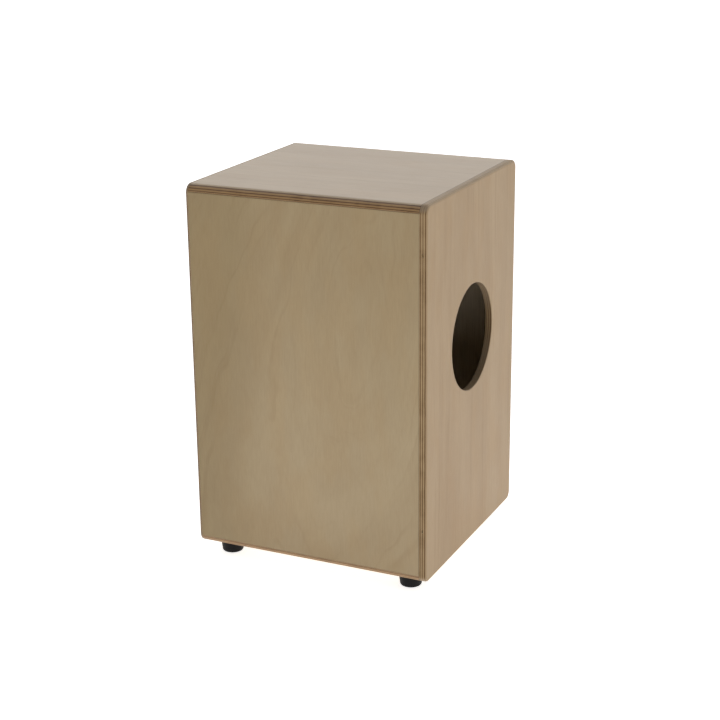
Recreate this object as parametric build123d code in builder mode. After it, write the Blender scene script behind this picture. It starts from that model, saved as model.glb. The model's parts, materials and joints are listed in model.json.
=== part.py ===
"""Cajon: a plywood box drum with a thin playing face, a sound hole and two string adjusters.

+Z is up and the floor is z = 0. The playing face (the tapa) faces -Y and the panel with the
sound hole faces +Y. Left (-X) and right (+X) are as seen from in front of the playing face.
The origin is on the floor, under the middle of the box. Everything is in millimetres.
"""
import math
import os

from build123d import *

# Overall size
HEIGHT = 480.0
WIDTH = 294.0
DEPTH = 312.0
FOOT_HEIGHT = 15.0
TAPA = 3.0  # thickness of the playing face
PLY = 9.0  # thickness of the other five panels

# Rounded outer edges
EDGE_R = 11.0  # the four edges that run from front to back
BACK_EDGE_R = 3.5
TAPA_EDGE_R = 1.5

# Sound hole in the back panel
HOLE_R = 67.0
HOLE_Z = 286.0
HOLE_RIM_R = 1.0

# Small slots in the upright edges of the back panel, on its middle ply
EDGE_SLOT = (4.5, 1.6, 3.0)  # height, width, depth
EDGE_SLOT_Z = (84.0, 423.0)

# Wooden frame behind the tapa, and glue strips in the back corners
BATTEN = 15.0
BATTEN_DEPTH = 18.0
STRIP = 16.0
STRIP_GAP = 3.0  # between the upright strips and the ends of the level ones

# Bars that the strings run over
BAR = 14.0
BAR_HEIGHT = 16.0
BAR_SETBACK = 1.4  # behind the inner face of the tapa
BAR_EDGE_R = 2.0
UPPER_BAR_Z = 425.0
LOWER_BAR_Z = 95.0

# Strings: two pairs, one pair on each adjuster
STRING_R = 0.5
STRING_LIFT = 0.05  # gap between a string and the bar that it lies on
ADJUSTER_X = 56.0
STRING_OFFSET = 6.0  # each string's distance from its adjuster's axis
BALL_R = 1.9
BALL_LENGTH = 3.0

# Adjusters: a 6 mm bolt turned from below moves a yoke up and down in a steel channel
BOLT_R = 3.0
BOLT_HEAD_R = 5.0
BOLT_HEAD = 4.0
BOLT_END_Z = 75.0
HEX_KEY = 4.0
HEX_DEPTH = 2.6
ADJUSTER_Y = -125.0
RUN = 0.05  # running clearance on a radius, and under the bolt's head
BUSH_FLANGE_R = 7.5
BUSH_FLANGE = 1.0
BUSH_R = 4.5
COUNTERBORE_R = 8.0
COUNTERBORE_DEPTH = 5.5
NUT_ACROSS = 10.0
NUT = 4.0
NUT_GAP = 0.2
YOKE_WIDTH = 26.0
YOKE = 12.0
YOKE_Z = 59.0  # middle of its travel
STRING_END = (1.0, -2.0)  # of a string, behind and below the middle of the yoke
GRUB_R = 1.5
GRUB_LENGTH = 3.5
GRUB_TIP_GAP = 2.3  # from a grub screw's tip to the middle of the yoke
GRUB_HEX_R = 0.85

# Steel channels that guide the yokes
SHEET = 1.5
SIDE_GAP = 0.1
CHANNEL_TOP_Z = 79.0
CHANNEL_FRONT = 7.0  # in front of the bolt's axis
WEB_DISTANCE = 6.5  # behind the bolt's axis
EAR = 11.5
EAR_SCREW_X = 20.5

# Feet
FOOT_R = 15.0
FOOT_BASE_R = 13.2
FOOT_RIM_R = 2.5
FOOT_INSET_X = 25.0
FOOT_INSET_Y = 30.0  # from the front and back of the box behind the tapa
FOOT_RECESS_R = 4.8
FOOT_RECESS = 6.0
FOOT_BORE_R = 2.1
WASHER_R = 4.4
WASHER = 1.0

# Screws: radius of the shank, radius of the head, length
TAPA_SCREW = (1.75, 3.5, 16.0)
FOOT_SCREW = (2.0, 3.8, 17.0)
CHANNEL_SCREW = (1.5, 2.9, 7.0)
PAN_HEAD = 2.0
CROSS_DEPTH = 1.1
SCREW_INSET = PLY + BATTEN / 2  # tapa screws, from the edges of the tapa
SCREW_ROW_X = 44.0  # the two inner screws of the top and bottom rows
SIDE_SCREWS = 3  # on each side, between the corner screws

# Planes and lengths that follow from the sizes above
FRONT_Y = -DEPTH / 2
BODY_FRONT_Y = FRONT_Y + TAPA
BACK_Y = DEPTH / 2
BODY_DEPTH = DEPTH - TAPA
BODY_HEIGHT = HEIGHT - FOOT_HEIGHT
BODY_MID_Z = FOOT_HEIGHT + BODY_HEIGHT / 2
FLOOR_Z = FOOT_HEIGHT + PLY  # upper face of the bottom panel
CEILING_Z = HEIGHT - PLY
INNER_X = WIDTH / 2 - PLY
INNER_BACK_Y = BACK_Y - PLY
PANEL_DEPTH = INNER_BACK_Y - BODY_FRONT_Y
PANEL_MID_Y = (INNER_BACK_Y + BODY_FRONT_Y) / 2
INNER_HEIGHT = CEILING_Z - FLOOR_Z
INNER_MID_Z = (CEILING_Z + FLOOR_Z) / 2
BATTEN_X = INNER_X - BATTEN  # inner faces of the upright battens
BAR_FRONT_Y = BODY_FRONT_Y + BAR_SETBACK
BAR_BACK_Y = BAR_FRONT_Y + BAR
STRING_Y = BAR_FRONT_Y - STRING_LIFT - STRING_R
STRING_TOP_Z = UPPER_BAR_Z + BAR_HEIGHT + STRING_LIFT + STRING_R
BEND_R = BAR_EDGE_R + STRING_LIFT + STRING_R
BUSH_Z = FOOT_HEIGHT + COUNTERBORE_DEPTH  # upper face of the bush's flange
HEAD_TOP_Z = BUSH_Z - BUSH_FLANGE - RUN
BEND_CENTRE = (BAR_FRONT_Y + BAR_EDGE_R, LOWER_BAR_Z + BAR_EDGE_R)
STRING_END_Y = ADJUSTER_Y + STRING_END[0]
STRING_END_Z = YOKE_Z + STRING_END[1]
SIDES = (("left", -1), ("right", 1))

FACING_DOWN = Plane(origin=(0, 0, 0), x_dir=(1, 0, 0), z_dir=(0, 0, -1))

# The lower run of a string leaves the bar's rounded edge at this angle from the vertical
run_y = STRING_END_Y - BEND_CENTRE[0]
run_z = BEND_CENTRE[1] - STRING_END_Z
STRING_ANGLE = math.atan2(run_y, run_z) + math.asin(BEND_R / math.hypot(run_y, run_z))

foot_spots = [
    (x * (WIDTH / 2 - FOOT_INSET_X), y)
    for y in (BODY_FRONT_Y + FOOT_INSET_Y, BACK_Y - FOOT_INSET_Y)
    for x in (-1, 1)
]
screw_x = WIDTH / 2 - SCREW_INSET
screw_low_z = FOOT_HEIGHT + SCREW_INSET
screw_high_z = HEIGHT - SCREW_INSET
side_step = (screw_high_z - screw_low_z) / (SIDE_SCREWS + 1)
tapa_spots = [
    (x, z) for z in (screw_low_z, screw_high_z) for x in (-screw_x, -SCREW_ROW_X, SCREW_ROW_X, screw_x)
] + [
    (x, screw_low_z + step * side_step) for step in range(1, SIDE_SCREWS + 1) for x in (-screw_x, screw_x)
]
ear_spots = [
    (side * ADJUSTER_X + ear * EAR_SCREW_X, ADJUSTER_Y) for _, side in SIDES for ear in (-1, 1)
]

os.makedirs("parts", exist_ok=True)


def save(piece, name):
    """Label a finished piece and write it under its own name."""
    piece.part.label = name
    export_step(piece.part, f"parts/{name}.step")
    print(f"{name}: {len(piece.part.solids())} solid(s), {piece.part.volume / 1000:.2f} cm3")


# Outer shape of the box behind the tapa. Each panel is cut out of it, so that the
# rounded edges run on from one panel to the next.
with BuildPart() as outer_shape:
    with BuildSketch(Plane.XZ.offset(-BACK_Y)):
        with Locations((0, BODY_MID_Z)):
            RectangleRounded(WIDTH, BODY_HEIGHT, EDGE_R)
    extrude(amount=BODY_DEPTH)
    fillet(outer_shape.faces().sort_by(Axis.Y)[-1].edges(), BACK_EDGE_R)

# Top panel: the seat. It runs the full width, over the side panels.
with BuildPart() as top_panel:
    add(outer_shape.part)
    with Locations((0, PANEL_MID_Y, HEIGHT - PLY / 2)):
        Box(WIDTH, PANEL_DEPTH, PLY, mode=Mode.INTERSECT)
save(top_panel, "top_panel")

# Bottom panel, with holes for the adjusters, their channels and the feet
with BuildPart() as bottom_panel:
    add(outer_shape.part)
    with Locations((0, PANEL_MID_Y, FOOT_HEIGHT + PLY / 2)):
        Box(WIDTH, PANEL_DEPTH, PLY, mode=Mode.INTERSECT)
    with BuildSketch(Plane.XY.offset(FOOT_HEIGHT)):
        with Locations(*[(side * ADJUSTER_X, ADJUSTER_Y) for _, side in SIDES]):
            Circle(COUNTERBORE_R)
    extrude(amount=COUNTERBORE_DEPTH, mode=Mode.SUBTRACT)
    with BuildSketch(Plane.XY.offset(FOOT_HEIGHT)):
        with Locations(*[(side * ADJUSTER_X, ADJUSTER_Y) for _, side in SIDES]):
            Circle(BUSH_R + RUN)
    extrude(amount=PLY, mode=Mode.SUBTRACT)
    with BuildSketch(Plane.XY.offset(FOOT_HEIGHT)):
        with Locations(*foot_spots):
            Circle(FOOT_SCREW[0] + RUN)
    extrude(amount=FOOT_SCREW[2] + FOOT_RECESS - WASHER - FOOT_HEIGHT + RUN, mode=Mode.SUBTRACT)
    with BuildSketch(Plane.XY.offset(FLOOR_Z)):
        with Locations(*ear_spots):
            Circle(CHANNEL_SCREW[0] + RUN)
    extrude(amount=-(CHANNEL_SCREW[2] - SHEET + RUN), mode=Mode.SUBTRACT)
save(bottom_panel, "bottom_panel")

# Side panels, between the top and bottom panels
for side_name, side in SIDES:
    with BuildPart() as side_panel:
        add(outer_shape.part)
        with Locations((side * (WIDTH - PLY) / 2, PANEL_MID_Y, INNER_MID_Z)):
            Box(PLY, PANEL_DEPTH, INNER_HEIGHT, mode=Mode.INTERSECT)
    save(side_panel, f"{side_name}_side_panel")

# Back panel: full width and height, over the ends of the other four
with BuildPart() as back_panel:
    add(outer_shape.part)
    with Locations((0, BACK_Y - PLY / 2, BODY_MID_Z)):
        Box(WIDTH, PLY, BODY_HEIGHT, mode=Mode.INTERSECT)
    with BuildSketch(Plane.XZ.offset(-BACK_Y)):
        with Locations((0, HOLE_Z)):
            Circle(HOLE_R)
    extrude(amount=PLY, mode=Mode.SUBTRACT)
    hole_edges = back_panel.edges().filter_by(GeomType.CIRCLE)
    fillet(hole_edges.filter_by(lambda edge: math.isclose(edge.radius, HOLE_R)), HOLE_RIM_R)
    with BuildSketch(Plane.YZ.offset(-WIDTH / 2)):
        with Locations(*[(BACK_Y - PLY / 2, z) for z in EDGE_SLOT_Z]):
            SlotOverall(EDGE_SLOT[0], EDGE_SLOT[1], rotation=90)
    extrude(amount=EDGE_SLOT[2], mode=Mode.SUBTRACT)
    mirror(about=Plane.YZ, mode=Mode.INTERSECT)
save(back_panel, "back_panel")

# Tapa: the thin playing face, screwed over the front of the box
with BuildPart() as tapa:
    with BuildSketch(Plane.XZ.offset(-BODY_FRONT_Y)):
        with Locations((0, BODY_MID_Z)):
            RectangleRounded(WIDTH, BODY_HEIGHT, EDGE_R)
    extrude(amount=TAPA)
    fillet(tapa.faces().sort_by(Axis.Y)[0].edges(), TAPA_EDGE_R)
    with Locations(Plane.XZ.offset(-FRONT_Y)):
        with Locations(*[(x, z, 0) for x, z in tapa_spots]):
            CounterSinkHole(TAPA_SCREW[0] + RUN, TAPA_SCREW[1] + RUN, depth=TAPA)
save(tapa, "tapa")

# Battens around the inside of the front, which the tapa is screwed to
for side_name, side in SIDES:
    with BuildPart() as upright_batten:
        with Locations((side * (INNER_X - BATTEN / 2), BODY_FRONT_Y + BATTEN_DEPTH / 2, INNER_MID_Z)):
            Box(BATTEN, BATTEN_DEPTH, INNER_HEIGHT)
        with BuildSketch(Plane.XZ.offset(-BODY_FRONT_Y)):
            with Locations(*[(x, z) for x, z in tapa_spots if x * side > BATTEN_X]):
                Circle(TAPA_SCREW[0] + RUN)
        extrude(amount=-(TAPA_SCREW[2] - TAPA + RUN), mode=Mode.SUBTRACT)
    save(upright_batten, f"front_batten_{side_name}")

for level_name, middle_z in (("top", CEILING_Z - BATTEN / 2), ("bottom", FLOOR_Z + BATTEN / 2)):
    with BuildPart() as level_batten:
        with Locations((0, BODY_FRONT_Y + BATTEN_DEPTH / 2, middle_z)):
            Box(2 * BATTEN_X, BATTEN_DEPTH, BATTEN)
        with BuildSketch(Plane.XZ.offset(-BODY_FRONT_Y)):
            with Locations(*[(x, middle_z) for x in (-SCREW_ROW_X, SCREW_ROW_X)]):
                Circle(TAPA_SCREW[0] + RUN)
        extrude(amount=-(TAPA_SCREW[2] - TAPA + RUN), mode=Mode.SUBTRACT)
    save(level_batten, f"front_batten_{level_name}")

# Three-cornered glue strips along the inside of the back panel's edges
for side_name, side in SIDES:
    with BuildPart() as upright_strip:
        with BuildSketch(Plane.XY.offset(FLOOR_Z)):
            with BuildLine():
                Polyline(
                    (side * INNER_X, INNER_BACK_Y),
                    (side * (INNER_X - STRIP), INNER_BACK_Y),
                    (side * INNER_X, INNER_BACK_Y - STRIP),
                    close=True,
                )
            make_face()
        extrude(amount=INNER_HEIGHT)
    save(upright_strip, f"back_strip_{side_name}")

strip_end_x = INNER_X - STRIP - STRIP_GAP
for level_name, corner_z, up in (("top", CEILING_Z, 1), ("bottom", FLOOR_Z, -1)):
    with BuildPart() as level_strip:
        with BuildSketch(Plane.YZ.offset(-strip_end_x)):
            with BuildLine():
                Polyline(
                    (INNER_BACK_Y, corner_z),
                    (INNER_BACK_Y - STRIP, corner_z),
                    (INNER_BACK_Y, corner_z - up * STRIP),
                    close=True,
                )
            make_face()
        extrude(amount=2 * strip_end_x)
    save(level_strip, f"back_strip_{level_name}")

# Bars across the box that hold the strings just behind the tapa
for level_name, bar_z in (("upper", UPPER_BAR_Z), ("lower", LOWER_BAR_Z)):
    with BuildPart() as string_bar:
        with Locations((0, BAR_FRONT_Y + BAR / 2, bar_z + BAR_HEIGHT / 2)):
            Box(2 * BATTEN_X, BAR, BAR_HEIGHT)
        fillet(string_bar.edges().filter_by(Axis.X).group_by(Axis.Y)[0], BAR_EDGE_R)
    save(string_bar, f"{level_name}_string_bar")

# Strings. Each starts in its ball end behind the upper bar, lies over the bar's top and
# front, hangs just behind the tapa, and turns back under the lower bar into its yoke.
ball_y = BAR_BACK_Y + BALL_R
bend_z = BEND_CENTRE[1] - BEND_R * math.tan(STRING_ANGLE / 2)
string_spots = [
    side * ADJUSTER_X + offset * STRING_OFFSET for _, side in SIDES for offset in (-1, 1)
]
for number, string_x in enumerate(string_spots, start=1):
    with BuildPart() as string:
        with BuildLine(Plane.YZ.offset(string_x)):
            FilletPolyline(
                (ball_y, STRING_TOP_Z),
                (STRING_Y, STRING_TOP_Z),
                (STRING_Y, bend_z),
                (STRING_END_Y, STRING_END_Z),
                radius=BEND_R,
            )
        with BuildSketch(Plane(origin=(string_x, ball_y, STRING_TOP_Z), z_dir=(0, -1, 0))):
            Circle(STRING_R)
        sweep()
    save(string, f"string_{number}")

with BuildPart() as string_ball_ends:
    for string_x in string_spots:
        with BuildSketch(Plane.YZ.offset(string_x - BALL_LENGTH / 2)):
            with Locations((ball_y, STRING_TOP_Z)):
                Circle(BALL_R)
        extrude(amount=BALL_LENGTH)
save(string_ball_ends, "string_ball_ends")

# The two adjusters
for side_name, side in SIDES:
    axis_x = side * ADJUSTER_X
    string_xs = (axis_x - STRING_OFFSET, axis_x + STRING_OFFSET)

    # Bolt, head down, turned by a hex key from under the box
    with BuildPart() as tension_bolt:
        with BuildSketch(Plane.XY.offset(HEAD_TOP_Z - BOLT_HEAD)):
            with Locations((axis_x, ADJUSTER_Y)):
                Circle(BOLT_HEAD_R)
        extrude(amount=BOLT_HEAD)
        with BuildSketch(Plane.XY.offset(HEAD_TOP_Z)):
            with Locations((axis_x, ADJUSTER_Y)):
                Circle(BOLT_R)
        extrude(amount=BOLT_END_Z - HEAD_TOP_Z)
        with BuildSketch(Plane.XY.offset(HEAD_TOP_Z - BOLT_HEAD)):
            with Locations((axis_x, ADJUSTER_Y)):
                RegularPolygon(HEX_KEY / 2, 6, major_radius=False)
        extrude(amount=HEX_DEPTH, mode=Mode.SUBTRACT)
        chamfer(tension_bolt.faces().sort_by(Axis.Z)[-1].edges(), 0.8)
    save(tension_bolt, f"tension_bolt_{side_name}")

    # Flanged bush that the bolt turns in
    with BuildPart() as bolt_bush:
        with BuildSketch(Plane.XY.offset(BUSH_Z - BUSH_FLANGE)):
            with Locations((axis_x, ADJUSTER_Y)):
                Circle(BUSH_FLANGE_R)
                Circle(BOLT_R + RUN, mode=Mode.SUBTRACT)
        extrude(amount=BUSH_FLANGE)
        with BuildSketch(Plane.XY.offset(BUSH_Z)):
            with Locations((axis_x, ADJUSTER_Y)):
                Circle(BUSH_R)
                Circle(BOLT_R + RUN, mode=Mode.SUBTRACT)
        extrude(amount=FLOOR_Z - BUSH_Z)
    save(bolt_bush, f"bolt_bush_{side_name}")

    # Nut locked onto the bolt, which keeps the bolt from dropping out
    with BuildPart() as lock_nut:
        with BuildSketch(Plane.XY.offset(FLOOR_Z + SHEET + NUT_GAP)):
            with Locations((axis_x, ADJUSTER_Y)):
                RegularPolygon(NUT_ACROSS / 2, 6, major_radius=False)
                Circle(BOLT_R, mode=Mode.SUBTRACT)
        extrude(amount=NUT)
    save(lock_nut, f"lock_nut_{side_name}")

    # Yoke: a steel block threaded on the bolt, with a slanted hole for each string
    with BuildPart() as string_yoke:
        with Locations((axis_x, ADJUSTER_Y, YOKE_Z)):
            Box(YOKE_WIDTH, YOKE, YOKE)
        chamfer(string_yoke.edges().filter_by(Axis.Z), 1.0)
        with BuildSketch(Plane.XY.offset(YOKE_Z - YOKE / 2)):
            with Locations((axis_x, ADJUSTER_Y)):
                Circle(BOLT_R + RUN)
        extrude(amount=YOKE, mode=Mode.SUBTRACT)
        for string_x in string_xs:
            up_the_string = (0, -math.sin(STRING_ANGLE), math.cos(STRING_ANGLE))
            string_foot = Vector(string_x, STRING_END_Y, STRING_END_Z)
            with BuildSketch(Plane(origin=string_foot, z_dir=up_the_string).offset(-2 * RUN)):
                Circle(STRING_R + RUN)
            extrude(amount=2 * YOKE, mode=Mode.SUBTRACT)
        with BuildSketch(Plane.XZ.offset(-(ADJUSTER_Y - YOKE / 2))):
            with Locations(*[(string_x, YOKE_Z) for string_x in string_xs]):
                Circle(GRUB_R + RUN)
        extrude(amount=-(YOKE / 2 - GRUB_TIP_GAP), mode=Mode.SUBTRACT)
    save(string_yoke, f"string_yoke_{side_name}")

    # Two grub screws that clamp the strings in the yoke
    grub_tip_y = ADJUSTER_Y - GRUB_TIP_GAP
    with BuildPart() as grub_screws:
        with BuildSketch(Plane.XZ.offset(-grub_tip_y)):
            with Locations(*[(string_x, YOKE_Z) for string_x in string_xs]):
                Circle(GRUB_R)
        extrude(amount=GRUB_LENGTH)
        with BuildSketch(Plane.XZ.offset(-(grub_tip_y - GRUB_LENGTH))):
            with Locations(*[(string_x, YOKE_Z) for string_x in string_xs]):
                RegularPolygon(GRUB_HEX_R, 6)
        extrude(amount=-GRUB_LENGTH / 2, mode=Mode.SUBTRACT)
    save(grub_screws, f"yoke_grub_screws_{side_name}")

    # Folded steel channel, open to the front, that keeps the yoke from turning
    cheek_x = YOKE_WIDTH / 2 + SIDE_GAP
    channel_depth = CHANNEL_FRONT + WEB_DISTANCE + SHEET
    channel_mid_y = ADJUSTER_Y + (WEB_DISTANCE + SHEET - CHANNEL_FRONT) / 2
    with BuildPart() as yoke_channel:
        with BuildSketch(Plane.XY.offset(FLOOR_Z)):
            with Locations((axis_x, channel_mid_y)):
                Rectangle(2 * (cheek_x + SHEET), channel_depth)
            with Locations((axis_x, channel_mid_y - SHEET / 2)):
                Rectangle(2 * cheek_x, channel_depth - SHEET, mode=Mode.SUBTRACT)
        extrude(amount=CHANNEL_TOP_Z - FLOOR_Z)
        with BuildSketch(Plane.XY.offset(FLOOR_Z)):
            with Locations((axis_x, channel_mid_y)):
                Rectangle(2 * (cheek_x + SHEET + EAR), channel_depth)
            with Locations((axis_x, ADJUSTER_Y)):
                Circle(BUSH_R, mode=Mode.SUBTRACT)
            with Locations(*[(axis_x + ear * EAR_SCREW_X, ADJUSTER_Y) for ear in (-1, 1)]):
                Circle(CHANNEL_SCREW[0] + RUN, mode=Mode.SUBTRACT)
        extrude(amount=SHEET)
    save(yoke_channel, f"yoke_channel_{side_name}")

# Feet: rubber cones, wide end up, each with a recess for its washer and screw
for end_name, end in (("front", 0), ("back", 1)):
    for side_name, side in SIDES:
        foot_x, foot_y = foot_spots[2 * end + (side + 1) // 2]
        with BuildPart() as foot:
            with BuildSketch(Plane(origin=(foot_x, foot_y, 0), x_dir=(1, 0, 0), z_dir=(0, -1, 0))):
                with BuildLine():
                    outline = FilletPolyline(
                        (FOOT_RECESS_R, 0),
                        (FOOT_BASE_R, 0),
                        (FOOT_R, FOOT_HEIGHT),
                        radius=FOOT_RIM_R,
                    )
                    Polyline(
                        outline @ 1,
                        (FOOT_BORE_R, FOOT_HEIGHT),
                        (FOOT_BORE_R, FOOT_RECESS),
                        (FOOT_RECESS_R, FOOT_RECESS),
                        outline @ 0,
                    )
                make_face()
            revolve(axis=Axis((foot_x, foot_y, 0), (0, 0, 1)))
        save(foot, f"foot_{end_name}_{side_name}")

with BuildPart() as foot_washers:
    with BuildSketch(Plane.XY.offset(FOOT_RECESS - WASHER)):
        with Locations(*foot_spots):
            Circle(WASHER_R)
            Circle(FOOT_SCREW[0] + RUN, mode=Mode.SUBTRACT)
    extrude(amount=WASHER)
save(foot_washers, "foot_washers")


# Screws. Each kind is drawn once, head up along +Z, and then set in its places.
shank_r, head_r, length = TAPA_SCREW
with BuildPart() as countersunk_screw:
    with BuildSketch(Plane.XZ):
        with BuildLine():
            Polyline(
                (0, 0),
                (head_r, 0),
                (shank_r, shank_r - head_r),
                (shank_r, 2 * shank_r - length),
                (0, -length),
                close=True,
            )
        make_face()
    revolve(axis=Axis.Z)
    with BuildSketch():
        Rectangle(head_r, head_r / 4)
        Rectangle(head_r / 4, head_r)
    extrude(amount=-CROSS_DEPTH, mode=Mode.SUBTRACT)

with BuildPart(Plane.XZ.offset(-FRONT_Y)) as tapa_screws:
    with Locations(*tapa_spots):
        add(countersunk_screw.part)
save(tapa_screws, "tapa_screws")

# Under a plane that faces down, the local Y axis points to the front
foot_screw_plane = FACING_DOWN.offset(WASHER - FOOT_RECESS)
foot_screw_spots = [(x, -y) for x, y in foot_spots]
for group_name, seat_plane, seat_spots, (shank_r, head_r, length) in (
    ("foot_screws", foot_screw_plane, foot_screw_spots, FOOT_SCREW),
    ("channel_screws", Plane.XY.offset(FLOOR_Z + SHEET), ear_spots, CHANNEL_SCREW),
):
    with BuildPart() as pan_screw:
        with BuildSketch(Plane.XZ):
            with BuildLine():
                Polyline(
                    (0, PAN_HEAD),
                    (head_r / 2, PAN_HEAD),
                    (head_r, PAN_HEAD / 2),
                    (head_r, 0),
                    (shank_r, 0),
                    (shank_r, shank_r - length),
                    (0, -length),
                    close=True,
                )
            make_face()
        revolve(axis=Axis.Z)
        with BuildSketch(Plane.XY.offset(PAN_HEAD)):
            Rectangle(head_r, head_r / 4)
            Rectangle(head_r / 4, head_r)
        extrude(amount=-CROSS_DEPTH, mode=Mode.SUBTRACT)
    with BuildPart(seat_plane) as pan_screws:
        with Locations(*seat_spots):
            add(pan_screw.part)
    save(pan_screws, group_name)
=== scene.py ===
"""The looks of the cajon: its meshes, its materials and the studio around it.

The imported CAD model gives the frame, in metres. +Z is up, the playing face (the tapa) faces -Y
and the panel with the sound hole faces +Y. The camera, the floor and the lamps are in metres;
the lengths in the materials and of the pieces are in millimetres.
"""

import json
import math

import bmesh
import bpy
from mathutils import Matrix, Vector

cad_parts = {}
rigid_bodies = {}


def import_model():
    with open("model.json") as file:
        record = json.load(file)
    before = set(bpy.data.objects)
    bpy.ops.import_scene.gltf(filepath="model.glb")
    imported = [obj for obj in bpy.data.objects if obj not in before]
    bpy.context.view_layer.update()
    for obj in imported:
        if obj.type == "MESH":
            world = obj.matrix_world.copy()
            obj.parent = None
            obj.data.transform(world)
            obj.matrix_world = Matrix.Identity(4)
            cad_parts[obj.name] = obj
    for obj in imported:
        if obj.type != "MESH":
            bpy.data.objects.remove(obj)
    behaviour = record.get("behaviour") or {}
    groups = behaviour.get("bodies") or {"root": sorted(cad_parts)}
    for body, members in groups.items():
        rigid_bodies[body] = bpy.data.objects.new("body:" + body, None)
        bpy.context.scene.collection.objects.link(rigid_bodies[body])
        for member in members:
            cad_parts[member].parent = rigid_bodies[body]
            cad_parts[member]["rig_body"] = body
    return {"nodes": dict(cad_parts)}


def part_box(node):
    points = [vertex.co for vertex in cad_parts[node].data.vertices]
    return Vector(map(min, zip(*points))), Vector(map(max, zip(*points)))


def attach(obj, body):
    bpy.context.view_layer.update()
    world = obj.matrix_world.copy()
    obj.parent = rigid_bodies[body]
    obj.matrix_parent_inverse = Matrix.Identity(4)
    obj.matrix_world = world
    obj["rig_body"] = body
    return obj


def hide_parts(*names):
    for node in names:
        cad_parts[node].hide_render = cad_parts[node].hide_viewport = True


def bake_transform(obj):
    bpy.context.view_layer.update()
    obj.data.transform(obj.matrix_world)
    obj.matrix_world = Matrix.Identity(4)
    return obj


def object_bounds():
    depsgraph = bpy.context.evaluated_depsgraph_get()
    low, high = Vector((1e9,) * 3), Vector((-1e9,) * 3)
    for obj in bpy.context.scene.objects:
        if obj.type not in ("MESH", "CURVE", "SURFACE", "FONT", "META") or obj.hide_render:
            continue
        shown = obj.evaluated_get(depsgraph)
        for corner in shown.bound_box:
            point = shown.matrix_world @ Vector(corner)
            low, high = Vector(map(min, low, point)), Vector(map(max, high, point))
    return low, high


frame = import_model()
cad_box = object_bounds()
scene = bpy.context.scene

MM = 0.001
AXES = "XYZ"


# ---------------------------------------------------------------- camera, stage and light

CAMERA_AZIMUTH = 115.17
CAMERA_ELEVATION = 18.29
CAMERA_ROLL = -0.6
CAMERA_DISTANCE = 2.081
CAMERA_LENS = 81.53
AIM_BELOW_MIDDLE = 0.0046
AIM_BEHIND_MIDDLE = 0.0028


def towards(azimuth, elevation):
    """The direction from the object to a viewer. Azimuth 0 is in front of the playing face."""
    around, up = math.radians(azimuth), math.radians(elevation)
    return Vector((math.sin(around) * math.cos(up), -math.cos(around) * math.cos(up), math.sin(up)))


def make_camera():
    """The camera, at the photograph's viewing angle."""
    middle = (cad_box[0] + cad_box[1]) / 2
    aim = middle + Vector((0, AIM_BEHIND_MIDDLE, -AIM_BELOW_MIDDLE))
    back = towards(CAMERA_AZIMUTH, CAMERA_ELEVATION)
    camera = bpy.data.objects.new("camera", bpy.data.cameras.new("camera"))
    scene.collection.objects.link(camera)
    turn = back.to_track_quat("Z", "Y").to_matrix() @ Matrix.Rotation(math.radians(CAMERA_ROLL), 3, "Z")
    camera.matrix_world = Matrix.Translation(aim + back * CAMERA_DISTANCE) @ turn.to_4x4()
    camera.data.lens = CAMERA_LENS
    camera.data.sensor_width = 36
    scene.camera = camera


FLOOR_RADIUS = 40.0
FLOOR_DROP = 0.1 * MM  # below the feet, so that the two don't share a plane
FLOOR_COLOUR = (0.9, 0.9, 0.9, 1)
FLOOR_GLOW = 0.82  # light from under it, so that it stays white around the cajon


def make_floor():
    """A large plain pale disc that the cajon stands on."""
    mesh = bpy.data.meshes.new("floor")
    shape = bmesh.new()
    bmesh.ops.create_circle(shape, cap_ends=True, segments=96, radius=FLOOR_RADIUS)
    shape.to_mesh(mesh)
    shape.free()
    floor = bpy.data.objects.new("floor", mesh)
    floor.location.z = -FLOOR_DROP
    scene.collection.objects.link(floor)
    paint = bpy.data.materials.new("floor_paint")
    paint.use_nodes = True
    surface = paint.node_tree.nodes["Principled BSDF"]
    surface.inputs["Base Color"].default_value = FLOOR_COLOUR
    surface.inputs["Roughness"].default_value = 1.0
    surface.inputs["Specular IOR Level"].default_value = 0.0
    surface.inputs["Emission Color"].default_value = (1, 1, 1, 1)
    surface.inputs["Emission Strength"].default_value = FLOOR_GLOW
    mesh.materials.append(paint)


SKY_SEEN = 1.2  # the backdrop itself, as the camera sees it
SKY_BRIGHT = 1.53  # its light from the far side of the cajon
SKY_DIM = 0.04  # and from the camera's side
SKY_CHANGE = (-0.4, 0.9)  # where the one goes over into the other, from -1 near the camera to 1


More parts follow.
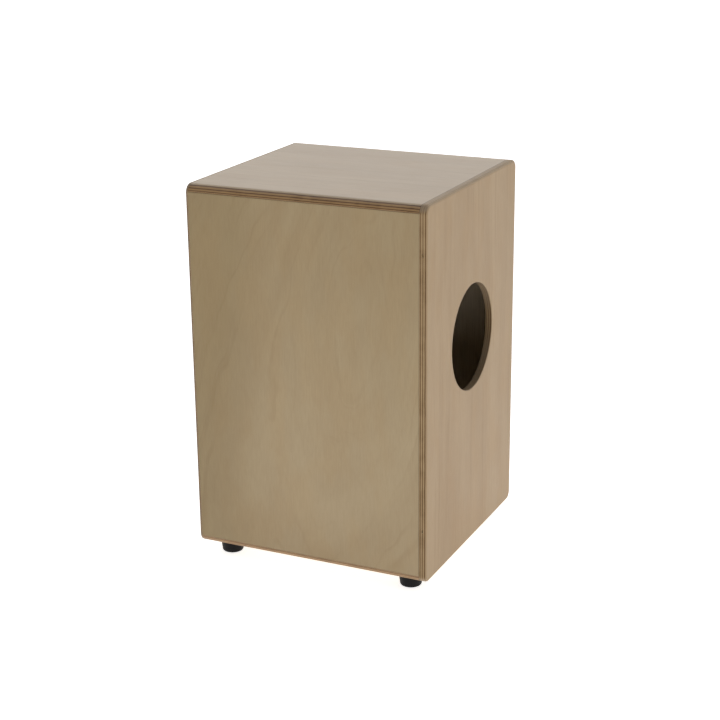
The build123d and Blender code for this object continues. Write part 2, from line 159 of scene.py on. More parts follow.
def make_sky():
    """A white backdrop, whose light comes mostly from the far side of the cajon."""
    world = bpy.data.worlds.new("studio")
    scene.world = world
    world.use_nodes = True
    tree = world.node_tree
    tree.nodes.clear()
    output = tree.nodes.new("ShaderNodeOutputWorld")
    seen, lit = tree.nodes.new("ShaderNodeBackground"), tree.nodes.new("ShaderNodeBackground")
    choose, rays = tree.nodes.new("ShaderNodeMixShader"), tree.nodes.new("ShaderNodeLightPath")
    place = tree.nodes.new("ShaderNodeTexCoord")
    along = tree.nodes.new("ShaderNodeVectorMath")
    level = tree.nodes.new("ShaderNodeMapRange")
    along.operation = "DOT_PRODUCT"
    along.inputs[1].default_value = -towards(CAMERA_AZIMUTH, 0)
    level.interpolation_type = "SMOOTHSTEP"
    level.inputs["From Min"].default_value, level.inputs["From Max"].default_value = SKY_CHANGE
    level.inputs["To Min"].default_value = SKY_DIM
    level.inputs["To Max"].default_value = SKY_BRIGHT
    seen.inputs["Color"].default_value = (1, 1, 1, 1)
    seen.inputs["Strength"].default_value = SKY_SEEN
    tree.links.new(place.outputs["Generated"], along.inputs[0])
    tree.links.new(along.outputs["Value"], level.inputs["Value"])
    tree.links.new(level.outputs["Result"], lit.inputs["Strength"])
    tree.links.new(rays.outputs["Is Camera Ray"], choose.inputs["Fac"])
    tree.links.new(lit.outputs["Background"], choose.inputs[1])
    tree.links.new(seen.outputs["Background"], choose.inputs[2])
    tree.links.new(choose.outputs["Shader"], output.inputs["Surface"])


OVERHEAD = 0.5
OVERHEAD_ANGLE = 75.0  # how wide it is
OVERHEAD_FROM = (160, 76)  # azimuth and elevation
SIDE_LIGHT = 0.6
SIDE_LIGHT_FROM = (152, 15)
SIDE_LIGHT_DISTANCE = 1.3
SIDE_LIGHT_SIZE = 0.7


def make_lamps():
    """Wide light from above, and a soft box beside the panel with the sound hole."""
    overhead = bpy.data.objects.new("overhead_light", bpy.data.lights.new("overhead_light", "SUN"))
    overhead.data.energy = OVERHEAD
    overhead.data.angle = math.radians(OVERHEAD_ANGLE)
    overhead.matrix_world = towards(*OVERHEAD_FROM).to_track_quat("Z", "Y").to_matrix().to_4x4()
    scene.collection.objects.link(overhead)

    side = bpy.data.objects.new("side_light", bpy.data.lights.new("side_light", "AREA"))
    side.data.energy = SIDE_LIGHT
    side.data.size = SIDE_LIGHT_SIZE
    place = towards(*SIDE_LIGHT_FROM)
    turn = place.to_track_quat("Z", "Y").to_matrix().to_4x4()
    side.matrix_world = Matrix.Translation(place * SIDE_LIGHT_DISTANCE) @ turn
    scene.collection.objects.link(side)


# ---------------------------------------------------------------- shader nodes


class Field:
    """A value that varies over a surface: the output of a shader node, with arithmetic."""

    def __init__(self, shader, socket):
        self.shader = shader
        self.socket = socket

    def math(self, operation, *others):
        return self.shader.math(operation, self, *others)

    def __add__(self, other):
        return self.math("ADD", other)

    def __sub__(self, other):
        return self.math("SUBTRACT", other)

    def __rsub__(self, other):
        return self.shader.math("SUBTRACT", other, self)

    def __mul__(self, other):
        return self.math("MULTIPLY", other)

    def __truediv__(self, other):
        return self.math("DIVIDE", other)

    __radd__ = __add__
    __rmul__ = __mul__

    def smooth(self, low, high, bottom=0.0, top=1.0):
        """bottom up to low, top from high, and a smooth step in between."""
        inputs = {"Value": self, "From Min": low, "From Max": high, "To Min": bottom, "To Max": top}
        return self.shader.add("ShaderNodeMapRange", inputs, "Result", interpolation_type="SMOOTHSTEP")

    def ramp(self, stops, interpolation="LINEAR"):
        """A look-up: stops are (place, value), where a value is a number or a colour."""
        made = self.shader.node("ShaderNodeValToRGB", {"Fac": self})
        ramp = made.color_ramp
        ramp.interpolation = interpolation
        while len(ramp.elements) < len(stops):
            ramp.elements.new(1.0)
        for element, (place, value) in zip(ramp.elements, stops):
            element.position = place
            element.color = (*value, 1) if isinstance(value, tuple) else (value, value, value, 1)
        return Field(self.shader, made.outputs["Color"])


class Shader:
    """One material, with short names for the nodes that it is made of. Lengths are in millimetres."""

    def __init__(self, name, roughness=0.5, metallic=0.0, specular=0.5):
        self.material = bpy.data.materials.new(name)
        self.material.use_nodes = True
        self.tree = self.material.node_tree
        self.surface = self.tree.nodes["Principled BSDF"]
        self.set("Roughness", roughness)
        self.set("Metallic", metallic)
        self.set("Specular IOR Level", specular)
        self.at = self.vector("SCALE", self.output("ShaderNodeTexCoord", "Object"), Scale=1 / MM)
        self.x, self.y, self.z = self.parts(self.at)

    def node(self, kind, inputs, **settings):
        made = self.tree.nodes.new(kind)
        for name, value in settings.items():
            setattr(made, name, value)
        for name, value in inputs.items():
            self.put(made.inputs[name], value)
        return made

    def add(self, kind, inputs, output, **settings):
        return Field(self, self.node(kind, inputs, **settings).outputs[output])

    def output(self, kind, output):
        return self.add(kind, {}, output)

    def put(self, socket, value):
        if isinstance(value, Field):
            self.tree.links.new(value.socket, socket)
        else:
            socket.default_value = value

    def set(self, name, value):
        """Sets an input of the surface itself, to a number, a colour or a field."""
        self.put(self.surface.inputs[name], (*value, 1) if isinstance(value, tuple) else value)

    def math(self, operation, *values):
        return self.add("ShaderNodeMath", dict(enumerate(values)), "Value", operation=operation)

    def vector(self, operation, *values, output="Vector", **inputs):
        inputs = {**dict(enumerate(values)), **inputs}
        return self.add("ShaderNodeVectorMath", inputs, output, operation=operation)

    def parts(self, vector):
        made = self.node("ShaderNodeSeparateXYZ", {"Vector": vector})
        return [Field(self, made.outputs[axis]) for axis in AXES]

    def joined(self, x, y, z):
        return self.add("ShaderNodeCombineXYZ", {"X": x, "Y": y, "Z": z}, "Vector")

    def stretched(self, x, y, z):
        """The place on the piece, in steps of x, y and z millimetres."""
        return self.vector("DIVIDE", self.at, (x, y, z))

    def noise(self, place, detail=2.0, roughness=0.5):
        inputs = {"Vector": place, "Scale": 1.0, "Detail": detail, "Roughness": roughness}
        return self.add("ShaderNodeTexNoise", inputs, "Fac")

    def mix(self, share, first, second, blend="MIX"):
        made = self.node("ShaderNodeMix", {}, data_type="RGBA", blend_type=blend)
        self.put(made.inputs[0], share)
        for socket, value in ((made.inputs[6], first), (made.inputs[7], second)):
            self.put(socket, (*value, 1) if isinstance(value, tuple) else value)
        return Field(self, made.outputs[2])

    def bump(self, height, depth, strength=1.0):
        """Relief: height runs from 0 to 1, and depth is its real depth in millimetres."""
        inputs = {"Height": height, "Distance": depth * MM, "Strength": strength}
        self.set("Normal", self.add("ShaderNodeBump", inputs, "Normal"))


# ---------------------------------------------------------------- materials

# A panel's thickness, and the depths at which one ply ends and the next begins
WALL_PLIES = (9.0, (1.2, 2.2, 4.0, 5.0, 6.8, 7.8))
TAPA_PLIES = (3.0, (0.8, 2.2))
PLY_BLUR = 0.06  # half the width over which one ply's colour goes over into the next one's
GLUE_LINE = 0.12  # half the width of the dark line between two plies
SANDED_AND_SHEEN_END = 0.42  # how pale a panel's ends of grain are, an upright panel's upper and lower end: partly sanding, partly a painted sheen of the lacquer
HOLE_WALL_DARKENING = 0.5  # how dark the wall of the sound hole is
SEAM = 0.55  # width of the stain along a glued joint
STAIN = 0.75  # how dark it is
RING_LINE = 0.3  # how much the dark line of a growth ring shows
RING_TONE = 0.32  # and how much its tone differs from the next one's

WHITE = (1, 1, 1)
BIRCH_LIGHT = (0.50, 0.385, 0.232)
BIRCH_DARK = (0.38, 0.272, 0.148)
BLUSH = (1.0, 0.95, 0.87)  # warmer patches of the face veneer
PAINTED_SHADE = (0.74, 0.71, 0.60)  # painted shade: the colour that darkens the face where less light falls
LONG_GRAIN = (0.475, 0.335, 0.185)
LONG_GRAIN_DARK = (0.33, 0.21, 0.10)
END_GRAIN = (0.215, 0.122, 0.055)
END_GRAIN_DARK = (0.11, 0.06, 0.026)
PALE_END_AND_SHEEN = (0.60, 0.475, 0.335)  # end grain, pale partly from sanding and partly from a painted sheen
EDGE_TINT = (1.0, 0.87, 0.75)  # the warmer long grain on the edges of the top and bottom panel
GLUE = (0.09, 0.055, 0.03)
RAW_LIGHT = (0.62, 0.53, 0.40)  # the inner faces, which have no lacquer
RAW_DARK = (0.50, 0.41, 0.29)
TAPA_LIGHT = (0.47, 0.315, 0.165)
TAPA_DARK = (0.33, 0.195, 0.088)


def ply_stops(plies):
    """Stops of a ramp over the depth of a panel: 0 and 1 by turns, from ply to ply."""
    thickness, edges = plies
    stops = [(0.0, 0.0)]
    for number, depth in enumerate(edges):
        before, after = (0.0, 1.0) if number % 2 == 0 else (1.0, 0.0)
        stops += [((depth - PLY_BLUR) / thickness, before), ((depth + PLY_BLUR) / thickness, after)]
    return stops


def glue_stops(plies):
    """Stops of a ramp over the depth of a panel: 1 where two plies are glued, and 0 elsewhere."""
    thickness, edges = plies
    sides = ((-1, 0.0), (0, 1.0), (1, 0.0))
    return [((depth + side * GLUE_LINE) / thickness, value) for depth in edges for side, value in sides]


class Wood(Shader):
    """A wooden material, with coordinates along and across its grain."""

    def __init__(self, name, grain_axis, depth_axis, seed, specular):
        super().__init__(name, specular=specular)
        self.coordinates = dict(zip(AXES, (self.x, self.y, self.z)))
        self.normals = dict(zip(AXES, self.parts(self.output("ShaderNodeTexCoord", "Normal"))))
        self.grain_axis, self.depth_axis = grain_axis, depth_axis
        self.cross_axis = (set(AXES) - {depth_axis, grain_axis}).pop()
        self.along, self.across = self.coordinates[grain_axis], self.coordinates[self.cross_axis]
        self.seed = seed

    def streaks(self, length, width, detail=2.0):
        """Noise drawn out along the grain."""
        place = self.joined(
            self.along / length + self.seed * 7.3,
            self.across / width + self.seed * 3.1,
            self.coordinates[self.depth_axis] / width,
        )
        return self.noise(place, detail)

    def facing(self, axis, low, high):
        """1 where the surface faces along an axis, 0 where it lies along it."""
        return self.math("ABSOLUTE", self.normals[axis]).smooth(low, high)


STRAIGHT_SWAY = 30.0


def straight_rings(wood, along, across):
    """Growth rings that run along the grain and sway a little."""
    bend = wood.noise(wood.joined(along / 260, across / 110, 0.0)) - 0.5
    return across + bend * STRAIGHT_SWAY


OVAL_FLATNESS = 0.125
OVAL_TIP = 150.0  # rounds the innermost rings
OVAL_SWAY = 46.0
SLANT = 0.22
SLANT_EDGE = (-140, -60)  # from the middle of the oval: the rings beside the first one slant


def arched_rings(middle_along, middle_across, lean):
    """Growth rings around a long leaning oval, and slanting away to one side of it."""

    def figure(wood, along, across):
        bend = wood.noise(wood.joined(along / 170, across / 75, 0.0), 3.0) - 0.5
        rise = along - middle_along
        run = across - middle_across - rise * lean
        oval = wood.math("SQRT", run * run + rise * rise * OVAL_FLATNESS + OVAL_TIP)
        slant = rise * SLANT * run.smooth(*SLANT_EDGE, 1.0, 0.0)
        return oval + slant + bend * OVAL_SWAY

    return figure


def veneer(wood, figure, light, dark, shade):
    """The face of a sheet of plywood, its fibres and its pores.

    It has growth rings, slow changes of tone, warmer patches and, where shade is given, painted shade.
    """
    place = figure(wood, wood.along, wood.across)

    def rings(width, seed):
        """Uneven bands that follow the growth rings."""
        return wood.noise(wood.joined(place / width, wood.along / 420 + seed, wood.seed + seed))

    zones = rings(44.0, 1.7).smooth(0.3, 0.7)
    lines = rings(7.0, 5.1).smooth(0.5, 0.72)
    clear = wood.streaks(120, 42).smooth(0.35, 0.65, 0.15, 1.0)
    fibres = wood.streaks(38, 0.7, 4.0).smooth(0.25, 0.75)
    clouds = wood.streaks(75, 48, 3.0).smooth(0.3, 0.7)
    flecks = wood.streaks(11, 1.9, 3.0).smooth(0.3, 0.7)
    pores = wood.streaks(2.6, 0.16, 1.0).smooth(0.62, 0.8)
    blush = wood.streaks(90, 34, 3.0).smooth(0.42, 0.66)
    tone = lines * clear * RING_LINE + zones * RING_TONE + fibres * 0.2 + flecks * 0.14 + clouds * 0.12
    colour = wood.mix(tone, light, dark)
    colour = wood.mix(blush * 0.5, colour, BLUSH, "MULTIPLY")
    # painted shade, darker where less light falls on the panel
    if shade:
        colour = wood.mix(shade, colour, PAINTED_SHADE, "MULTIPLY")
    return wood.mix(pores * 0.2, colour, dark), fibres, pores


def edge_grain(wood, depth):
    """The colours of a panel's edges: where the grain of a ply runs along one, and where it ends at one."""
    burnt = wood.noise(wood.stretched(19, 19, 19), 3.0, 0.6).smooth(0.4, 0.7)
    dots = wood.noise(wood.stretched(0.5, 0.5, 0.5)).smooth(0.3, 0.7)
    streaks = wood.noise(wood.joined(wood.along / 16, wood.across / 16, depth / 0.4), 3.0).smooth(0.35, 0.7)
    long_colour = wood.mix(streaks * 0.4 + burnt * 0.45, LONG_GRAIN, LONG_GRAIN_DARK)
    end_colour = wood.mix(dots * 0.4 + burnt * 0.6, END_GRAIN, END_GRAIN_DARK)
    return long_colour, end_colour


def joint_stain(wood, node, seams, share, wobble):
    """1 where glue and lacquer have stained the wood along its joints."""
    stain = share.smooth(0.955, 0.985) * (1.0 - wood.facing(wood.depth_axis, 0.3, 0.7))
    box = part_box(node)
    for axis, end in seams:
        joint = box[end][AXES.index(axis)] / MM
        away = wood.math("ABSOLUTE", wood.coordinates[axis] - joint) + wobble * 0.3
        stain = wood.math("MAXIMUM", stain, away.smooth(SEAM * 0.3, SEAM, 1.0, 0.0))
    return stain


def plywood(name, node, axes, outer, seed, figure=straight_rings, seams=(), tint=WHITE, edge_tint=WHITE,
            shade=None, cut=None, gloss=0.35, plies=WALL_PLIES, face=(BIRCH_LIGHT, BIRCH_DARK)):
    """Birch plywood in the solid.

    axes are the axis of its depth and that of the face veneer's grain; every second ply's grain
    runs across it. outer is the place of the outer face. figure gives the growth rings of the
    face veneer, as a distance across them. seams are the ends of the panel that are glued to
    another one, as (axis, 0 for its low end or 1 for its high end). tint and edge_tint are
    multiplied with the colours of the face and of the edges. shade is painted shade over the
    face, and cut is 1 on the wall of the sound hole, which it darkens. gloss is how strongly the
    lacquer reflects. face is the pair of colours of the face, light and dark.
    """
    depth_axis, grain_axis = axes
    wood = Wood(name, grain_axis, depth_axis, seed, specular=gloss)
    body, fibres, pores = veneer(wood, figure, *face, shade and shade(wood))
    body = wood.mix(1.0, body, tint, "MULTIPLY")

    # The plies, seen on the edges
    thickness, (first_ply, *_) = plies
    first_share = first_ply / thickness
    wobble = wood.noise(wood.stretched(30, 30, 30)) - 0.5
    away_from_face = wood.math("ABSOLUTE", outer - wood.coordinates[depth_axis])
    depth = away_from_face + wobble * 0.08 * thickness
    share = depth / thickness
    crossing = share.ramp(ply_stops(plies))
    glued = share.ramp(glue_stops(plies))
    ends_of_grain = wood.facing(grain_axis, 0.1, 0.6)
    ends_of_cross = wood.facing(wood.cross_axis, 0.1, 0.6)
    end_grain = crossing * ends_of_cross + (1.0 - crossing) * ends_of_grain * 0.6
    long_colour, end_colour = edge_grain(wood, depth)
    inner_face = share.smooth(0.93, 0.95) * wood.facing(depth_axis, 0.7, 0.9)
    inside = share.smooth(first_share - 0.015, first_share + 0.015) * (1.0 - inner_face)
    body = wood.mix(inner_face, body, wood.mix(fibres, RAW_LIGHT, RAW_DARK))
    body = wood.mix(inside, body, wood.mix(1.0, long_colour, edge_tint, "MULTIPLY"))
    edge = end_grain * share.smooth(0.4 * first_share, first_share, 0.35, 1.0) * (1.0 - inner_face)
    body = wood.mix(edge, body, end_colour)
    # pale ends of grain: partly sanding, partly a painted sheen of the lacquer
    body = wood.mix(ends_of_grain * SANDED_AND_SHEEN_END, body, PALE_END_AND_SHEEN)
    # darker on the wall of the sound hole
    if cut:
        body = wood.mix(cut(wood) * HOLE_WALL_DARKENING, body, GLUE)
    body = wood.mix(glued * 0.6 * share.smooth(0.04, 0.1), body, GLUE)
    body = wood.mix(joint_stain(wood, node, seams, share, wobble) * STAIN, body, GLUE)

    wood.set("Base Color", body)
    wood.set("Roughness", 0.31 + 0.08 * fibres + 0.1 * inside + 0.3 * inner_face)
    wood.bump(0.6 * fibres + 0.8 * (1.0 - pores) - 0.5 * glued, 0.02, 0.5)
    return wood.material


def round_cut(middle_x, middle_z, radius):
    """The wall of a round hole through a panel that faces along Y."""

    def cut(wood):
        run, rise = wood.x - middle_x, wood.z - middle_z
        distance = wood.math("SQRT", run * run + rise * rise)
        return distance.smooth(radius - 0.1, radius + 0.5, 1.0, 0.0)

    return cut


def painted_edge_shade(low, high, side, top):
    """Painted shade over an upright panel between the corners low and high.

    It reaches top at the upper end, and side at the edge at the low end of Y.
    """

    def shade(wood):
        size = high - low
        near_edge = wood.across.smooth(low.y, low.y + 0.42 * size.y, side, 0.0)
        near_top = wood.along.smooth(low.z + 0.1 * size.z, high.z, 0.0, top)
        return near_edge + near_top

    return shade


HEART_ACROSS = 31.0  # from the middle of the cajon to the heart of the tree, across the grain
HEART_DEPTH = 47.0
HEART_STEP = 9.0  # further away for each kind of wood


def sawn_wood(name, grain_axis, light, dark, spacing, seed):
    """Solid sawn wood: growth rings around a line along the grain, fibres, and darker ends."""
    depth_axis = "Y" if grain_axis != "Y" else "X"
    wood = Wood(name, grain_axis, depth_axis, seed, specular=0.35)
    depth = wood.coordinates[depth_axis]
    bend = wood.noise(wood.joined(wood.along / 230, wood.across / 70, depth / 70)) - 0.5
    from_heart = wood.across + HEART_ACROSS + seed * HEART_STEP
    from_side = depth - HEART_DEPTH
    radius = wood.math("SQRT", from_heart * from_heart + from_side * from_side)
    ring = (radius / spacing + bend * 2.4).math("FRACT")
    late_wood = ring.smooth(0.2, 0.9) * ring.smooth(0.9, 1.0, 1.0, 0.0)
    fibres = wood.streaks(30, 0.6, 4.0).smooth(0.25, 0.75)
    mottle = wood.streaks(80, 20, 3.0).smooth(0.3, 0.7)
    tone = late_wood * 0.6 + fibres * 0.25 + mottle * 0.25
    body = wood.mix(tone, light, dark)
    ends = wood.facing(grain_axis, 0.4, 0.8)
    vessels = wood.noise(wood.stretched(0.4, 0.4, 0.4), 2.0).smooth(0.35, 0.7)
    wood.set("Base Color", wood.mix(ends * (0.35 + vessels * 0.3), body, dark))
    wood.set("Roughness", 0.5 + 0.12 * fibres)
    saw_marks = wood.noise(wood.joined(wood.along / 1.3, wood.across / 40, depth / 40), 1.0)
    wood.bump(0.7 * fibres + 0.2 * saw_marks - 0.3 * late_wood, 0.04, 0.5)
    return wood.material


def metal(name, colour, dark, roughness, grain=(3, 3, 3), depth=0.012, blotches=6.0):
    """Bare or plated metal: fine tool marks drawn out along grain, and soft dull blotches."""
    made = Shader(name, roughness, metallic=1.0)
    marks = made.noise(made.stretched(*grain), 4.0, 0.6)
    dull = made.noise(made.stretched(blotches, blotches, blotches), 3.0, 0.6).smooth(0.35, 0.75)
    made.set("Base Color", made.mix(marks.smooth(0.3, 0.7) * 0.4 + dull * 0.5, colour, dark))
    made.set("Roughness", roughness + 0.1 * marks + 0.14 * dull)
    made.bump(marks, depth, 0.5)
    return made.material


WINDING = 0.36  # from one turn of the winding wire to the next


def wound_steel():
    """A string with a fine wire wound around it."""
    made = Shader("wound_steel", 0.3, metallic=1.0)
    turns = (made.z / WINDING * 2 * math.pi).math("SINE") * 0.5 + 0.5
    dull = made.noise(made.stretched(3, 3, 14), 2.0).smooth(0.35, 0.7)
    groove = turns.smooth(0.0, 0.45, 1.0, 0.0)
    # darker in the grooves between the turns: painted shade
    made.set("Base Color", made.mix(groove * 0.7 + dull * 0.25, (0.66, 0.63, 0.57), (0.2, 0.18, 0.15)))
    made.set("Roughness", 0.26 + 0.2 * dull + 0.2 * groove)
    made.bump(turns, 0.09, 0.8)
    return made.material


def rubber():
    """Black moulded rubber: fine grain, a greyish bloom, and dust near the floor."""
    made = Shader("moulded_rubber", specular=0.13)
    grain = made.noise(made.stretched(0.35, 0.35, 0.35), 2.0)
    bloom = made.noise(made.stretched(7, 7, 5), 4.0, 0.6).smooth(0.4, 0.7)
    near_floor = made.z.smooth(0.2, 2.5, 1.0, 0.0)
    dust = near_floor * made.noise(made.stretched(1.2, 1.2, 1.2), 3.0).smooth(0.35, 0.7)
    colour = made.mix(bloom * 0.6, (0.009, 0.009, 0.0095), (0.017, 0.0165, 0.016))
    made.set("Base Color", made.mix(dust * 0.5, colour, (0.11, 0.1, 0.09)))
    made.set("Roughness", 0.5 + 0.12 * bloom + 0.2 * dust)
    made.bump(grain, 0.03, 0.4)
    return made.material


# ---------------------------------------------------------------- pieces


def body_of(node):
    """The body of the CAD model that a node moves with."""
    return frame["nodes"][node]["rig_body"]


def slot_of(node):
    """The name of a CAD node's material."""
    return frame["nodes"][node].data.materials[0].name.split(".")[0]


SAME_POINT = 0.001 * MM
SAME_PLANE = 0.3  # degrees
SHARP = 30  # degrees; the edges that are broken
SHARP_LOOK = 28  # and those that stay sharp in the shading
PANEL_EDGE = 0.25  # how far the edges of plywood are broken
SAWN_EDGE = 0.5
HARD_EDGE = 0.12  # of metal and rubber


def clean(node):
    """The CAD node's shape, with its points joined and its flat faces whole."""
    shape = bmesh.new()
    shape.from_mesh(frame["nodes"][node].data)
    bmesh.ops.remove_doubles(shape, verts=shape.verts, dist=SAME_POINT)
    flat = math.radians(SAME_PLANE)
    bmesh.ops.dissolve_limit(shape, angle_limit=flat, verts=shape.verts, edges=shape.edges)
    return shape


def soften(shape, edge):
    """Breaks the sharp edges of a shape by so many millimetres."""
    sharp = [e for e in shape.edges if e.is_manifold and e.calc_face_angle() > math.radians(SHARP)]
    bmesh.ops.bevel(
        shape, geom=sharp, offset=edge * MM, segments=2, profile=0.5, affect="EDGES", clamp_overlap=True
    )


def remade(node, material, edge=PANEL_EDGE):
    """The CAD node again as one clean mesh, with its sharp edges broken."""
    shape = clean(node)
    soften(shape, edge)
    return placed(node, shape, material)


BOLT_RADIUS = 3.0
BOLT_HEAD = 4.0
BOLT_EDGE = 0.25  # how far the head's edges are broken
BOLT_SINK = 0.2  # how far the shank reaches into the head
BOLT_PLAIN = 6.4  # from the head to the thread, through the bush
BOLT_TAPER = 0.7  # at the bolt's end
THREAD_PITCH = 1.0
THREAD_DEPTH = 0.54
THREAD_SIDES = 32
THREAD_ROWS = 8  # in one pitch
THREAD_RUN_IN = 2.0  # over which the thread deepens
# Its profile: how deep it is cut, from 0 to 1, at a share of one turn
THREAD_STOPS = ((0.0, 0.0), (0.06, 0.0), (0.44, 1.0), (0.56, 1.0), (0.94, 0.0), (1.0, 0.0))


def thread_cut(turn):
    """How deep the thread is cut, from 0 to 1, at a number of turns."""
    turn %= 1.0
    for (start, first), (end, second) in zip(THREAD_STOPS, THREAD_STOPS[1:]):
        if turn <= end:
            return first + (second - first) * (turn - start) / (end - start)
    return 0.0


def bolt_radius(from_head, from_end, turn):
    """The bolt's radius at a distance from its head and its end, and at a turn of its thread."""
    depth = min(1.0, max(0.0, (from_head - BOLT_PLAIN) / THREAD_RUN_IN))
    cut = thread_cut(turn) * THREAD_DEPTH * depth
    taper = max(0.0, 1.0 - from_end / BOLT_TAPER) * THREAD_DEPTH
    return BOLT_RADIUS - max(cut, taper)


def threaded_bolt(node, material):
    """A bolt with its head from the CAD and a real screw thread on its shank."""
    bolt = clean(node)
    low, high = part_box(node)
    axis = (low + high) / 2
    head_top = low.z + BOLT_HEAD * MM

    def on_shank(vert):
        """Whether a point of the CAD shape is on the shank, clear of the head."""
        from_axis = math.hypot(vert.co.x - axis.x, vert.co.y - axis.y)
        return vert.co.z > head_top + 0.3 * MM and from_axis < BOLT_RADIUS * MM * 1.01

    bmesh.ops.delete(bolt, geom=[vert for vert in bolt.verts if on_shank(vert)], context="VERTS")
    soften(bolt, BOLT_EDGE)
    start, rows = head_top - BOLT_SINK * MM, []
    count = int((high.z - start) / MM / THREAD_PITCH * THREAD_ROWS)
    for row in range(count + 1):
        z = start + (high.z - start) * row / count
        ring = []
        for side in range(THREAD_SIDES):
            share = side / THREAD_SIDES
            turn = (z - start) / MM / THREAD_PITCH - share
            reach = bolt_radius((z - head_top) / MM, (high.z - z) / MM, turn) * MM
            x, y = reach * math.cos(2 * math.pi * share), reach * math.sin(2 * math.pi * share)
            ring.append(bolt.verts.new((axis.x + x, axis.y + y, z)))
        rows.append(ring)
    for lower, upper in zip(rows, rows[1:]):
        for side in range(THREAD_SIDES):
            after = (side + 1) % THREAD_SIDES
            bolt.faces.new((lower[side], lower[after], upper[after], upper[side]))
    bolt.faces.new(rows[-1])
    return placed(node, bolt, material)


def placed(node, shape, material, stretch=None):
    """Puts a finished bmesh in the scene, in place of a CAD node, and on that node's body unless it has a
    stretch.
    """
    mesh = bpy.data.meshes.new(node + "_look")
    for face in shape.faces:
        face.smooth = True
    shape.to_mesh(mesh)
    shape.free()
    mesh.set_sharp_from_angle(angle=math.radians(SHARP_LOOK))
    mesh.materials.append(material)
    piece = bpy.data.objects.new(node + "_look", mesh)
    scene.collection.objects.link(piece)
    even = piece.modifiers.new("even_shading", "WEIGHTED_NORMAL")
    even.weight = 100
    even.keep_sharp = True
    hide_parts(node)
    if stretch:
        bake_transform(piece)
    else:
        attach(piece, body_of(node))
    return piece


make_camera()
make_floor()
make_sky()
make_lamps()
scene.view_settings.view_transform = "Standard"

HOLE_HEIGHT = 286.0
HOLE_RADIUS = 67.0
SIDE_OVAL_RISE = 80.0  # the middle of the right side panel's figure, above the panel's middle
SIDE_OVAL_SHARE = 0.25  # and behind it, as a share of the panel's depth
SIDE_OVAL_LEAN = 0.167
TAPA_OVAL = (160.0, 12.0, 0.03)  # height, distance to the side and lean of the tapa's figure

low, high = cad_box
side_low, side_high = (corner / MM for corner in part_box("right_side_panel"))
side_size, side_middle = side_high - side_low, (side_low + side_high) / 2
side_oval = arched_rings(
    side_middle.z + SIDE_OVAL_RISE, side_middle.y + SIDE_OVAL_SHARE * side_size.y, SIDE_OVAL_LEAN
)
lying_ends = (("Y", 0), ("Y", 1))
side_ends = (("Y", 0), ("Y", 1), ("Z", 0), ("Z", 1))
panels = {
    "top_panel": {
        "axes": ("Z", "Y"), "outer": high.z / MM, "seams": lying_ends,
        "tint": (1.0, 0.95, 0.93), "edge_tint": EDGE_TINT, "gloss": 0.5,
    },
    "bottom_panel": {
        "axes": ("Z", "Y"), "outer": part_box("bottom_panel")[0].z / MM, "seams": lying_ends,
        "edge_tint": EDGE_TINT,
    },
    "left_side_panel": {"axes": ("X", "Z"), "outer": low.x / MM, "seams": side_ends},
    "right_side_panel": {
        # its lighter tint is painted light on the same veneer as the left side panel
        "axes": ("X", "Z"), "outer": high.x / MM, "seams": side_ends, "tint": (1.04, 1.04, 1.03),
        "figure": side_oval,
        # painted shade, darker towards the top and towards the edge at the low end of Y
        "shade": painted_edge_shade(side_low, side_high, side=0.8, top=0.6),
    },
    "back_panel": {
        # its darker tint is painted shade on the same veneer as the side panels
        "axes": ("Y", "Z"), "outer": high.y / MM, "tint": (0.93, 0.86, 0.835), "gloss": 0.1,
        # painted shade, darker towards the top
        "shade": painted_edge_shade(side_low, side_high, side=0.0, top=0.25),
        "cut": round_cut(0.0, HOLE_HEIGHT, HOLE_RADIUS),
    },
}
for seed, (node, sheet) in enumerate(panels.items(), start=1):
    remade(node, plywood("birch_" + node, node, seed=float(seed), **sheet))
remade("tapa", plywood(
    "tapa_veneer", "tapa", axes=("Y", "Z"), outer=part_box("tapa")[0].y / MM, seed=7.0,
    figure=arched_rings(*TAPA_OVAL), gloss=0.4, plies=TAPA_PLIES, face=(TAPA_LIGHT, TAPA_DARK),
))

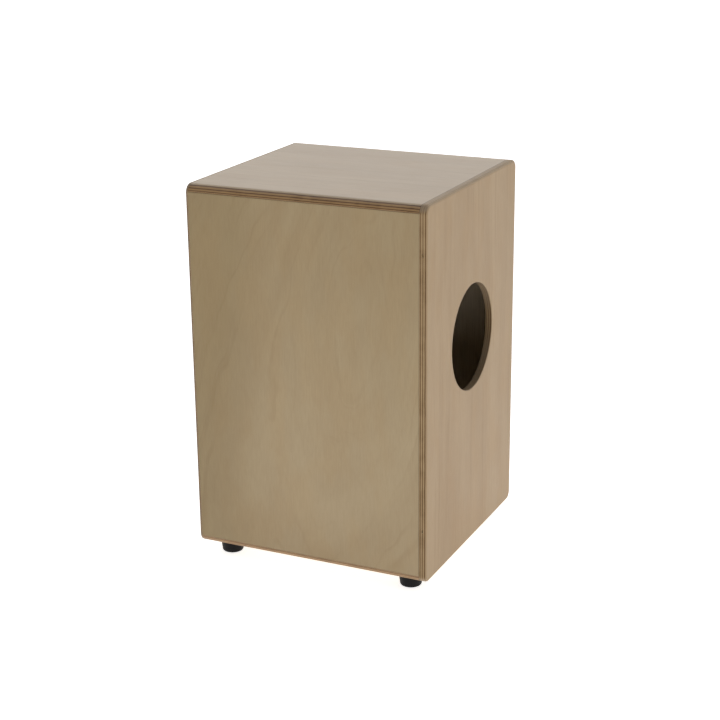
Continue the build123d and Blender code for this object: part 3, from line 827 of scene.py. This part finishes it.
# Light and dark colour, and the width of a growth ring
woods = {
    "pine": ((0.70, 0.53, 0.31), (0.47, 0.29, 0.13), 3.4),
    "beech": ((0.52, 0.34, 0.20), (0.40, 0.235, 0.125), 2.1),
}
sawn = {
    (kind, axis): sawn_wood(f"{kind}_along_{axis.lower()}", axis, light, dark, spacing, float(seed))
    for seed, (kind, (light, dark, spacing)) in enumerate(woods.items(), start=1)
    for axis in ("XZ" if kind == "pine" else "X")
}
finishes = {
    "brass": metal("turned_brass", (0.78, 0.58, 0.25), (0.5, 0.35, 0.13), 0.24, blotches=2.0),
    "yoke_steel": metal("milled_steel", (0.56, 0.56, 0.56), (0.38, 0.37, 0.36), 0.3, (6, 0.25, 0.25)),
    "zinc_steel": metal("zinc_plate", (0.66, 0.68, 0.70), (0.48, 0.49, 0.50), 0.28, blotches=4.0),
    "black_steel": metal("black_oxide", (0.055, 0.054, 0.055), (0.026, 0.026, 0.028), 0.36, (1, 1, 1)),
    "string_steel": wound_steel(),
    "foot_rubber": rubber(),
}


def long_axis(node):
    """The axis along which a piece is longest."""
    low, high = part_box(node)
    return AXES[max(range(3), key=lambda axis: (high - low)[axis])]


YOKE_ENTRY = 0.75  # share of a string's lower run that is outside its yoke
BAR_TANGENT = 0.5  # height above the lower bar's underside at which a string leaves the bar


def string_stretch(node):
    """How a string moves: it stays with the cabinet down to the lower bar, and its end is held in a yoke.

    In between it stretches.
    """
    low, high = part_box(node)
    yoke = "yoke_left" if low.x < 0 else "yoke_right"
    middle_x = (low.x + high.x) / 2
    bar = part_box("lower_string_bar")[0]
    leaves_bar = Vector((middle_x, bar.y, bar.z + BAR_TANGENT * MM))
    tip = Vector((middle_x, high.y, low.z))
    return {"bodies": ("cabinet", yoke), "start": leaves_bar, "end": leaves_bar.lerp(tip, YOKE_ENTRY)}


def string(node, material):
    """A string, with a ring of points where it enters its yoke."""
    shape, stretch = clean(node), string_stretch(node)
    everything = [*shape.verts, *shape.edges, *shape.faces]
    run = stretch["end"] - stretch["start"]
    bmesh.ops.bisect_plane(shape, geom=everything, plane_co=stretch["end"], plane_no=run.normalized())
    return placed(node, shape, material, stretch)


for node in frame["nodes"]:
    if node in panels or node == "tapa":
        continue
    slot = slot_of(node)
    if slot in woods:
        remade(node, sawn[slot, long_axis(node)], edge=SAWN_EDGE)
    elif slot == "string_steel":
        string(node, finishes[slot])
    elif node.startswith("tension_bolt"):
        threaded_bolt(node, finishes[slot])
    else:
        remade(node, finishes[slot], edge=HARD_EDGE)
